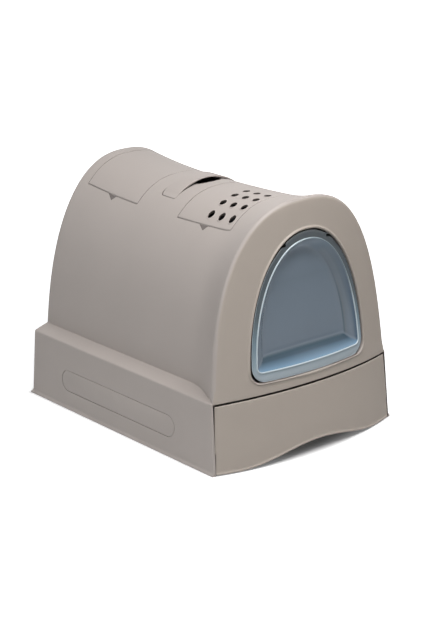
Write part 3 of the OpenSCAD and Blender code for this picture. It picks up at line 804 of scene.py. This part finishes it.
def door_loop(margin, depth, flat):
    """Doorway outline at a margin, a depth behind the face; flat 1 lies in the dish's plane."""
    lift, side = 6.7 * ease((margin - 2.4) / 9) - 1.2, 0.6 + 4.4 * ease((margin - 13) / 16)
    loop = doorway_loop(margin, 61, 40, lift, side, 6 - 6 * ease((margin - 3) / 6), 4 * ease((margin - 2.4) / 8))
    out = []
    for x, z in loop:
        # Room beside the hinge for the swing
        x -= math.copysign(1.3, x) * ease((z - 325) / 20) * ease((7 - margin) / 4) * ease(abs(x) / 40)
        bowed = float(face_y(x, z))
        plane = float(face_y(0, z))
        out.append((x, bowed + (plane - bowed) * flat + depth, z))
    return out


def door_piece(name, steps, closed=False, solid=False):
    """Moulding from a row of (margin, depth, flatness) steps, with its front towards the room.

    A closed one has a pane in its middle; a solid one is a ring whose last step meets its first."""
    loops = [door_loop(m, d, f) for m, d, f in steps]
    n = len(loops[0])
    verts = np.vstack([np.array(l) for l in loops])
    faces = grid_faces(len(loops), n, True)
    last = (len(loops) - 1) * n
    if closed:
        faces.append(tuple(range(last, last + n)))
    if solid:
        faces += [(last + j, last + (j + 1) % n, (j + 1) % n, j) for j in range(n)]
    piece = mesh_object(name, verts, faces, 0)
    inward = piece.data.attributes.new("inward", "FLOAT", "POINT")
    inward.data.foreach_set("value", [m for m, _, _ in steps for _ in range(n)])
    fix_normals(piece)
    if not solid and sum(p.normal.y * p.area for p in piece.data.polygons) > 0:
        piece.data.flip_normals()
    return piece


def hinge_reliefs(radius):
    """Room cut from the door's edge beside its pins, so that it clears the doorway when it swings out."""
    return [rod("relief", (s * 51.5, hinge_y(), HINGE_Z), (1, 0, 0), radius, 15, 32) for s in (-1, 1)]


def make_door_flange():
    steps = [(3.1, 1.6, 0), (3.2, 0.9, 0), (4.0, 0.6, 0), (5.5, 0.5, 0), (8.0, 0.6, 0), (10.6, 0.9, 0)]
    flange = cut(thicken(door_piece("door_flange", steps), 2.2), hinge_reliefs(6.3))
    pins = [rod("pin", (s * 51.2, hinge_y(), HINGE_Z), (1, 0, 0), 2.0, 24.4, 24, 0.3) for s in (-1, 1)]
    return soften(join("door_flange", [flange] + pins), 40)


def make_door_edge():
    """Thin ring round the door's flange, coloured as a painted highlight of the flange's edge."""
    steps = [(2.4, 3.1, 0), (2.4, 1.4, 0), (2.45, 0.9, 0), (2.7, 0.55, 0), (3.1, 0.5, 0), (3.3, 1.0, 0),
             (3.6, 3.1, 0)]
    return soften(cut(door_piece("door_edge", steps, solid=True), hinge_reliefs(7.2)), 60)


def make_door_bead():
    """Bead between the door's flange and its dish; its pale colour is a painted highlight."""
    steps = [(10.4, 1.0, 0), (10.6, 0.1, 0), (11.1, -0.5, 0), (11.8, -0.6, 0), (12.5, -0.2, 0), (12.8, 1.0, 0)]
    return soften(thicken(door_piece("door_bead", steps), 2.0), 60)


def make_door_dish():
    steps = [(12.6, 1.0, 0), (13.2, 1.8, 0), (14.3, 3.4, 0.05), (17.0, 7.5, 0.2), (20.5, 12.5, 0.5),
             (25.0, 18.5, 0.85), (27.2, 21.3, 0.97), (28.8, 22.9, 1), (30.8, 24.0, 1), (34.5, 24.9, 1), (42, 25, 1)]
    return soften(thicken(door_piece("door_pane", steps, True), 2.2), 40)


def make_hinge_bosses():
    y = hinge_y() + 2.2
    return join("door_bosses", [rod("boss", (s * 61.8, y, HINGE_Z), (1, 0, 0), 4.2, 7.5, 32, 0.4) for s in (-1, 1)])


# Materials

def node(tree, kind, **values):
    n = tree.nodes.new(kind)
    for key, value in values.items():
        setattr(n, key, value)
    return n


def math_node(tree, operation, *values):
    """A sum on sockets or plain numbers."""
    n = tree.nodes.new("ShaderNodeMath")
    n.operation = operation
    for socket, value in zip(n.inputs, values):
        if isinstance(value, (int, float)):
            socket.default_value = value
        else:
            tree.links.new(value, socket)
    return n.outputs[0]


def ramp_node(tree, value, low, high, out_low, out_high, kind="SMOOTHSTEP"):
    n = node(tree, "ShaderNodeMapRange", interpolation_type=kind)
    for key, number in (("From Min", low), ("From Max", high), ("To Min", out_low), ("To Max", out_high)):
        n.inputs[key].default_value = number
    tree.links.new(value, n.inputs["Value"])
    return n.outputs["Result"]


def new_material(name):
    mat = bpy.data.materials.new(name)
    mat.use_nodes = True
    return mat, mat.node_tree


def position(tree):
    """A point's place on its piece, whole and split into x, y and z."""
    place, split = node(tree, "ShaderNodeTexCoord"), node(tree, "ShaderNodeSeparateXYZ")
    tree.links.new(place.outputs["Object"], split.inputs["Vector"])
    return place, split


def noise(tree, place, scale, detail=2):
    n = node(tree, "ShaderNodeTexNoise")
    n.inputs["Scale"].default_value = scale
    n.inputs["Detail"].default_value = detail
    tree.links.new(place.outputs["Object"], n.inputs["Vector"])
    return n


def plastic(name, rgb, rough=0.5, grain=0.05, mottling=0.03):
    """Moulded plastic: a fine grain in the surface and a faint unevenness of tone and gloss."""
    mat, tree = new_material(name)
    links, shader = tree.links, tree.nodes["Principled BSDF"]
    place = node(tree, "ShaderNodeTexCoord")
    fine, broad = noise(tree, place, 1400, 3), noise(tree, place, 14, 4)
    tone = node(tree, "ShaderNodeMix", data_type="RGBA")
    tone.inputs["A"].default_value = (*[c * (1 - mottling) for c in rgb], 1)
    tone.inputs["B"].default_value = (*[min(1, c * (1 + mottling)) for c in rgb], 1)
    gloss = ramp_node(tree, broad.outputs["Fac"], 0.0, 1.0, rough - 0.04, rough + 0.05, "LINEAR")
    bump = node(tree, "ShaderNodeBump")
    bump.inputs["Strength"].default_value = grain
    bump.inputs["Distance"].default_value = 0.0004
    links.new(broad.outputs["Fac"], tone.inputs["Factor"])
    links.new(tone.outputs["Result"], shader.inputs["Base Color"])
    links.new(gloss, shader.inputs["Roughness"])
    links.new(fine.outputs["Fac"], bump.inputs["Height"])
    links.new(bump.outputs["Normal"], shader.inputs["Normal"])
    shader.inputs["Specular IOR Level"].default_value = 0.35
    return mat


def tint(tree, value, stops):
    """Colour that follows a value through a row of (value, colour) stops."""
    low, high = stops[0][0], stops[-1][0]
    share = ramp_node(tree, value, low, high, 0.0, 1.0, "LINEAR")
    ramp = node(tree, "ShaderNodeValToRGB")
    points = ramp.color_ramp.elements
    while len(points) < len(stops):
        points.new(0.5)
    for point, (place, rgb) in zip(points, stops):
        point.position = (place - low) / (high - low)
        point.color = (*rgb, 1)
    tree.links.new(share, ramp.inputs["Fac"])
    return ramp.outputs["Color"]


def clear_blue(name, painted_light_by_height, through=0.35, slope=None, wall=None):
    """Tinted clear plastic with painted light: painted_light_by_height gives its colour by height as painted shade and
    reflection; slope and wall give the dish's sides, picked by the way they face, painted shade and highlight by their
    way inward.
    """
    mat, tree = new_material(name)
    shader = tree.nodes["Principled BSDF"]
    shader.inputs["Transmission Weight"].default_value = through
    shader.inputs["IOR"].default_value = 1.45
    place, at = position(tree)
    colour = tint(tree, at.outputs["Z"], painted_light_by_height)
    if slope:
        way, inward = node(tree, "ShaderNodeSeparateXYZ"), node(tree, "ShaderNodeAttribute", attribute_name="inward")
        tree.links.new(place.outputs["Normal"], way.inputs["Vector"])
        # Painted shade and highlight on the dish's sideways wall and upward slope, chosen by the way the surface faces;
        # the wall's fades higher up
        for axis, low, high, stops in (("X", -0.35, -0.7, wall), ("Z", 0.22, 0.5, slope)):
            mix = node(tree, "ShaderNodeMix", data_type="RGBA")
            share = ramp_node(tree, way.outputs[axis], low, high, 0.0, 1.0)
            if axis == "X":
                share = math_node(tree, "MULTIPLY", share, ramp_node(tree, at.outputs["Z"], 0.20, 0.30, 1.0, 0.3))
            tree.links.new(share, mix.inputs["Factor"])
            tree.links.new(colour, mix.inputs["A"])
            tree.links.new(tint(tree, inward.outputs["Fac"], stops), mix.inputs["B"])
            colour = mix.outputs["Result"]
    tree.links.new(colour, shader.inputs["Base Color"])
    gloss = ramp_node(tree, noise(tree, place, 30).outputs["Fac"], 0.0, 1.0, 0.05, 0.11, "LINEAR")
    tree.links.new(gloss, shader.inputs["Roughness"])
    return mat


# Door dish: its blue tint with painted shade and reflection by height, and painted highlight and shade on its slope and
# wall
DISH_PAINTED_LIGHT_BY_HEIGHT = [(0.15, (0.25, 0.305, 0.37)), (0.20, (0.254, 0.311, 0.375)), (0.29, (0.26, 0.32, 0.385)),
                (0.325, (0.33, 0.40, 0.475)), (0.37, (0.46, 0.56, 0.66))]
DISH_SLOPE_PAINTED_LIGHT = [(12.6, (0.24, 0.40, 0.56)), (18.0, (0.15, 0.26, 0.37)), (24.0, (0.05, 0.10, 0.15)),
              (28.0, (0.04, 0.09, 0.13)), (31.0, (0.10, 0.15, 0.19))]
DISH_WALL_PAINTED_LIGHT = [(12.6, (0.18, 0.25, 0.32)), (14.5, (0.055, 0.12, 0.21)), (18.0, (0.065, 0.125, 0.19)),
             (19.8, (0.085, 0.12, 0.15)), (21.8, (0.20, 0.238, 0.267)), (26.5, (0.215, 0.254, 0.28)),
             (28.3, (0.11, 0.16, 0.19)), (30.0, (0.25, 0.31, 0.37))]
# Door flange: painted reflection, pale low down, and painted shade higher up
FLANGE_PAINTED_LIGHT_BY_HEIGHT = [(0.150, (0.40, 0.465, 0.51)), (0.172, (0.31, 0.40, 0.46)), (0.205, (0.20, 0.28, 0.33)),
                  (0.245, (0.125, 0.155, 0.17)), (0.31, (0.105, 0.125, 0.14)), (0.376, (0.115, 0.13, 0.14))]
# Door edge ring: a painted highlight, palest low down and fading upward
EDGE_PAINTED_HIGHLIGHT_BY_HEIGHT = [(0.150, (0.54, 0.62, 0.68)), (0.18, (0.48, 0.56, 0.62)), (0.25, (0.40, 0.46, 0.50)),
                (0.31, (0.27, 0.31, 0.34)), (0.376, (0.12, 0.14, 0.15))]


def bead_painted_light():
    """Pale painted highlight on the door's bead, with painted shade where it turns away from the light at the upper
    right.
    """
    mat = plastic("bead_painted_light", (0.54, 0.62, 0.665), 0.2)
    tree = mat.node_tree
    at = position(tree)[1]
    upper = ramp_node(tree, at.outputs["Z"], 0.22, 0.30, 0.0, 1.0)
    share = math_node(tree, "MULTIPLY", upper, ramp_node(tree, at.outputs["X"], -0.03, 0.03, 0.0, 0.85))
    shader = tree.nodes["Principled BSDF"]
    mix = node(tree, "ShaderNodeMix", data_type="RGBA")
    tree.links.new(share, mix.inputs["Factor"])
    tree.links.new(shader.inputs["Base Color"].links[0].from_socket, mix.inputs["A"])
    # Painted shade: dim blue on the bead's upper right
    mix.inputs["B"].default_value = (0.17, 0.225, 0.26, 1)
    tree.links.new(mix.outputs["Result"], shader.inputs["Base Color"])
    return mat


def felt(name):
    mat = plastic(name, (0.018, 0.018, 0.020), 0.9, 0.8, 0.3)
    mat.node_tree.nodes["Noise Texture"].inputs["Scale"].default_value = 500
    return mat


def dress(obj, mat, body, slot, *stands_for):
    obj.data.materials.clear()
    obj.data.materials.append(mat)
    for p in obj.data.polygons:
        p.material_index = 0
    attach(obj, body)
    if stands_for:
        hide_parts(*stands_for)
    return obj


def paint_shade(piece, mat, chosen):
    """Paints shade: puts a darker material on the faces that lie inside a gap, where shade falls."""
    piece.data.materials.append(mat)
    for p in piece.data.polygons:
        if chosen(Vector(p.center) / MM, p.normal):
            p.material_index = len(piece.data.materials) - 1


def in_vent(c, n):
    """Walls of the vent holes, which get a painted shade."""
    out = min((Vector((c.x - x, c.y - y)) for x, y in VENTS), key=lambda d: d.length)
    return out.length < 6.6 and n.xy.dot(out.normalized()) < -0.75


# Front and back edges of a lid, which get a painted shade in their seams
def on_lid_edge(c, n):
    return abs(n.y) > 0.9 and abs(c.x) < LID_HALF - 0.1 and not in_vent(c, n)


# Edges and back of the drawer panel inside its seams, which get a painted shade
def behind_panel(c, n):
    return c.y > float(face_y(c.x, c.z)) + 1.65 and (abs(n.z) > 0.6 or abs(n.x) > 0.6)


def beside_drawer(c, n):
    """Ends of the skirt walls inside the seam beside the drawer front, which get a painted shade."""
    return c.z < FACE_END_Z - 1 and abs(c.x) < 194.7 and abs(n.x) > 0.8 and c.y < -220 and c.x * n.x < 0


def warm_face(hood, mat):
    """Gives the hood's front face the drawer front's warmer tone."""
    hood.data.materials.append(mat)
    for p in hood.data.polygons:
        x, y, z = p.center / MM
        if z > 116 and p.normal.y < -0.5 and y < float(face_y(x, z)) + 0.6:
            p.material_index = 1


# Camera, light and floor

def make_camera():
    cam = bpy.data.cameras.new("camera")
    cam.lens = 102.4
    cam.sensor_width = 36
    cam.clip_start, cam.clip_end = 0.1, 100
    o = bpy.data.objects.new("camera", cam)
    bpy.context.scene.collection.objects.link(o)
    az, el, roll = math.radians(-39.63), math.radians(18.53), math.radians(-0.73)
    back = Vector((math.sin(az) * math.cos(el), -math.cos(az) * math.cos(el), math.sin(el)))
    right = Vector((math.cos(az), math.sin(az), 0))
    up = back.cross(right)
    target = Vector((0, 0, 0.2)) + right * -0.0017 + up * -0.02962
    r2 = right * math.cos(roll) + up * math.sin(roll)
    u2 = up * math.cos(roll) - right * math.sin(roll)
    o.matrix_world = Matrix.Translation(target + back * 3.10145) @ Matrix((r2, u2, back)).transposed().to_4x4()
    bpy.context.scene.camera = o


def area_light(name, size, power, place, aim, colour=(1, 1, 1)):
    light = bpy.data.lights.new(name, "AREA")
    light.shape = "RECTANGLE"
    light.size, light.size_y = size
    light.energy = power
    light.color = colour
    o = bpy.data.objects.new(name, light)
    bpy.context.scene.collection.objects.link(o)
    o.location = place
    o.rotation_mode = "QUATERNION"
    o.rotation_quaternion = (Vector(aim) - Vector(place)).to_track_quat("-Z", "Y")
    return o


LIGHTS = [
    # name, size, power, azimuth, elevation, distance, colour
    ("key", 1.2, 3.2, -45, 38, 2.6, (1, 1, 1)),
    ("side", 1.4, 20.2, -98, 23, 2.6, (0.935, 0.98, 1)),
    ("glint_high", 0.10, 0.6, -64, 54, 2.4, (1, 1, 1)),
    ("glint_low", 0.10, 0.6, -64, 45, 2.4, (1, 1, 1)),
    ("high_front", 1.0, 27.0, -10, 62, 1.6, (1, 1, 1)),
    ("right", 1.4, 2.0, 95, 40, 2.6, (1, 1, 1)),
]
WORLD_FILL, WORLD_SHEEN = 0.0, 1.4


def make_studio():
    """White surround with a dimmer fill, and soft lights."""
    world = bpy.data.worlds.new("world")
    bpy.context.scene.world = world
    world.use_nodes = True
    tree = world.node_tree
    tree.nodes.clear()
    out, back = node(tree, "ShaderNodeOutputWorld"), node(tree, "ShaderNodeBackground")
    ray = node(tree, "ShaderNodeLightPath")
    mirrored = math_node(tree, "MAXIMUM", ray.outputs["Is Glossy Ray"], ray.outputs["Is Transmission Ray"])
    sheen = math_node(tree, "MULTIPLY_ADD", mirrored, WORLD_SHEEN - WORLD_FILL, WORLD_FILL)
    total = math_node(tree, "MAXIMUM", sheen, ray.outputs["Is Camera Ray"])
    tree.links.new(total, back.inputs["Strength"])
    tree.links.new(back.outputs[0], out.inputs["Surface"])
    for name, size, power, az, el, dist, colour in LIGHTS:
        az, el = math.radians(az), math.radians(el)
        aim = Vector((0, 0, 0.2))
        way = Vector((math.sin(az) * math.cos(el), -math.cos(az) * math.cos(el), math.sin(el)))
        area_light(name, (size, size), power, aim + way * dist, aim, colour)


def make_floor():
    """White floor that keeps only the shade under and close to the box: its camera glow is held back there so the
    rendered shade shows, and the outline of that shadow and a faint glow that lightens it inside are painted.
    """
    n = 96
    radii = [0.4, 1.2, 3.0, 9.0, 30.0]
    verts = [(0, 0, 0)]
    for r in radii:
        turns = [2 * math.pi * i / n for i in range(n)]
        verts += [(r * 1000 * math.cos(a), r * 1000 * math.sin(a), 0) for a in turns]
    faces = [(0, 1 + i, 1 + (i + 1) % n) for i in range(n)]
    for k in range(len(radii) - 1):
        a, b = 1 + k * n, 1 + (k + 1) * n
        faces += [(a + i, b + i, b + (i + 1) % n, a + (i + 1) % n) for i in range(n)]
    floor = mesh_object("floor", verts, faces, 0)
    floor.location.z = -0.0002
    mat, tree = new_material("floor")
    tree.nodes.clear()
    out = node(tree, "ShaderNodeOutputMaterial")
    lit, glow = node(tree, "ShaderNodeBsdfDiffuse"), node(tree, "ShaderNodeEmission")
    lit.inputs["Color"].default_value = (0.80, 0.80, 0.80, 1)
    at = position(tree)[1]
    x, y = at.outputs["X"], at.outputs["Y"]
    # Distance outside the box's footprint, whose front is bowed
    beside = math_node(tree, "SUBTRACT", math_node(tree, "ABSOLUTE", x), 0.2)
    behind = math_node(tree, "SUBTRACT", y, 0.2725)
    bow = math_node(tree, "MULTIPLY_ADD", math_node(tree, "MULTIPLY", x, x), 0.865, -0.2725)
    ahead = math_node(tree, "SUBTRACT", bow, y)
    off = math_node(tree, "MAXIMUM", math_node(tree, "MAXIMUM", beside, behind), ahead)
    # Painted light and shadow: inside the footprint a faint glow rising towards its edge lightens the rendered shade;
    # just outside, the glow climbs to white and sets the shadow's outline
    glow_in_shadow = ramp_node(tree, off, -0.032, -0.002, 0.045, 0.19)
    near = math_node(tree, "ADD", glow_in_shadow, ramp_node(tree, off, -0.003, 0.012, 0.0, 0.56))
    far = ramp_node(tree, off, 0.05, 1.5, 0.0, 0.6)
    ray = node(tree, "ShaderNodeLightPath")
    seen = math_node(tree, "MULTIPLY", math_node(tree, "ADD", near, far), ray.outputs["Is Camera Ray"])
    total = node(tree, "ShaderNodeAddShader")
    tree.links.new(seen, glow.inputs["Strength"])
    tree.links.new(lit.outputs[0], total.inputs[0])
    tree.links.new(glow.outputs[0], total.inputs[1])
    tree.links.new(total.outputs[0], out.inputs["Surface"])
    floor.data.materials.append(mat)


def build():
    hood_mat = plastic("hood_plastic", (0.41, 0.3635, 0.338), 0.46)
    face_mat = plastic("drawer_plastic", (0.41, 0.3585, 0.3145), 0.44)
    dark_mat = plastic("pan_plastic", (0.22, 0.20, 0.19), 0.5)
    # Dark painted shade for the notch floors and the lids' seam edges
    shade_mat = plastic("notch_painted_shade", (0.14, 0.12, 0.112), 0.55)
    # Near-black painted shade for faces inside gaps and holes
    gap_shade_mat = plastic("gap_painted_shade", (0.045, 0.036, 0.031), 0.6)
    tray_mat = plastic("tray_plastic", (0.33, 0.30, 0.28), 0.4)
    scoop_mat = plastic("scoop_plastic", (0.13, 0.135, 0.14), 0.4)
    hood = dress(make_hood(), hood_mat, "housing", "hood_grey", "hood_shell", "front_frame")
    warm_face(hood, face_mat)
    # Painted shade on the skirt wall ends in the seam beside the drawer
    paint_shade(hood, gap_shade_mat, beside_drawer)
    dress(make_rim(), hood_mat, "housing", "hood_grey")
    dress(make_bowl(), hood_mat, "housing", "hood_grey")
    # Notch floors dressed in painted shade
    dress(make_notch_facets(), shade_mat, "housing", "hood_grey")
    dress(make_hinge_bosses(), hood_mat, "housing", "face_grey")
    dress(make_strap(), hood_mat, "housing", "hood_grey", "carry_handle")
    for side, label in ((-1, "left"), (1, "right")):
        plate = inlay_solid("inlay_plate_" + label, side, -0.35, 1.3, -0.05, 0.35)
        dress(plate, hood_mat, "housing", "inlay_grey", "side_inlay_" + label)
    for name, label in (("filter", "filter_lid"), ("storage", "storage_lid")):
        well = make_well(name + "_compartment", *LIDS[label], WELL_FLOORS[label], name == "filter")
        dress(well, dark_mat, "housing", "housing_dark", name + "_well")
    dress(make_pad(), felt("carbon_felt"), "housing", "filter_charcoal", "carbon_filter")
    dress(make_scoop(), scoop_mat, "housing", "scoop_grey", "litter_scoop")
    dress(make_pan(), dark_mat, "housing", "housing_dark", "base_pan")
    # Painted shade on the drawer panel's edges inside its seams
    paint_shade(dress(make_drawer_front(), face_mat, "drawer", "face_grey", "drawer_front"), gap_shade_mat, behind_panel)
    dress(make_tray(), tray_mat, "drawer", "tray_grey", "drawer_tray")
    # Door dish in clear blue with painted shade, highlight and reflection
    dish_mat = clear_blue("dish_blue_painted_light", DISH_PAINTED_LIGHT_BY_HEIGHT, 0.35, DISH_SLOPE_PAINTED_LIGHT, DISH_WALL_PAINTED_LIGHT)
    bead_mat = bead_painted_light()
    dress(make_door_dish(), dish_mat, "door", "door_clear", "swing_door")
    # Door flange in clear blue with painted reflection and shade by height
    dress(make_door_flange(), clear_blue("flange_blue_painted_light", FLANGE_PAINTED_LIGHT_BY_HEIGHT, 0.12), "door", "door_clear")
    dress(make_door_bead(), bead_mat, "door", "door_clear")
    # Door edge ring in a painted highlight of the flange's edge catching light
    edge = dress(make_door_edge(), clear_blue("edge_blue_painted_highlight", EDGE_PAINTED_HIGHLIGHT_BY_HEIGHT, 0.1), "door", "door_clear")
    # Painted shade on the ring's faces that turn into the gap round the door
    paint_shade(edge, gap_shade_mat, lambda c, n: n.y > -0.45)
    for name, (front, back) in LIDS.items():
        lid = dress(make_lid(name, front, back), hood_mat, name, "hood_grey", name)
        # Painted shade on the lid's front and back edges in the seam
        paint_shade(lid, shade_mat, on_lid_edge)
        if name == "filter_lid":
            # Painted shade on the walls of the vent holes
            paint_shade(lid, gap_shade_mat, in_vent)


build()
make_camera()
make_studio()
make_floor()
bpy.context.scene.view_settings.view_transform = "Standard"
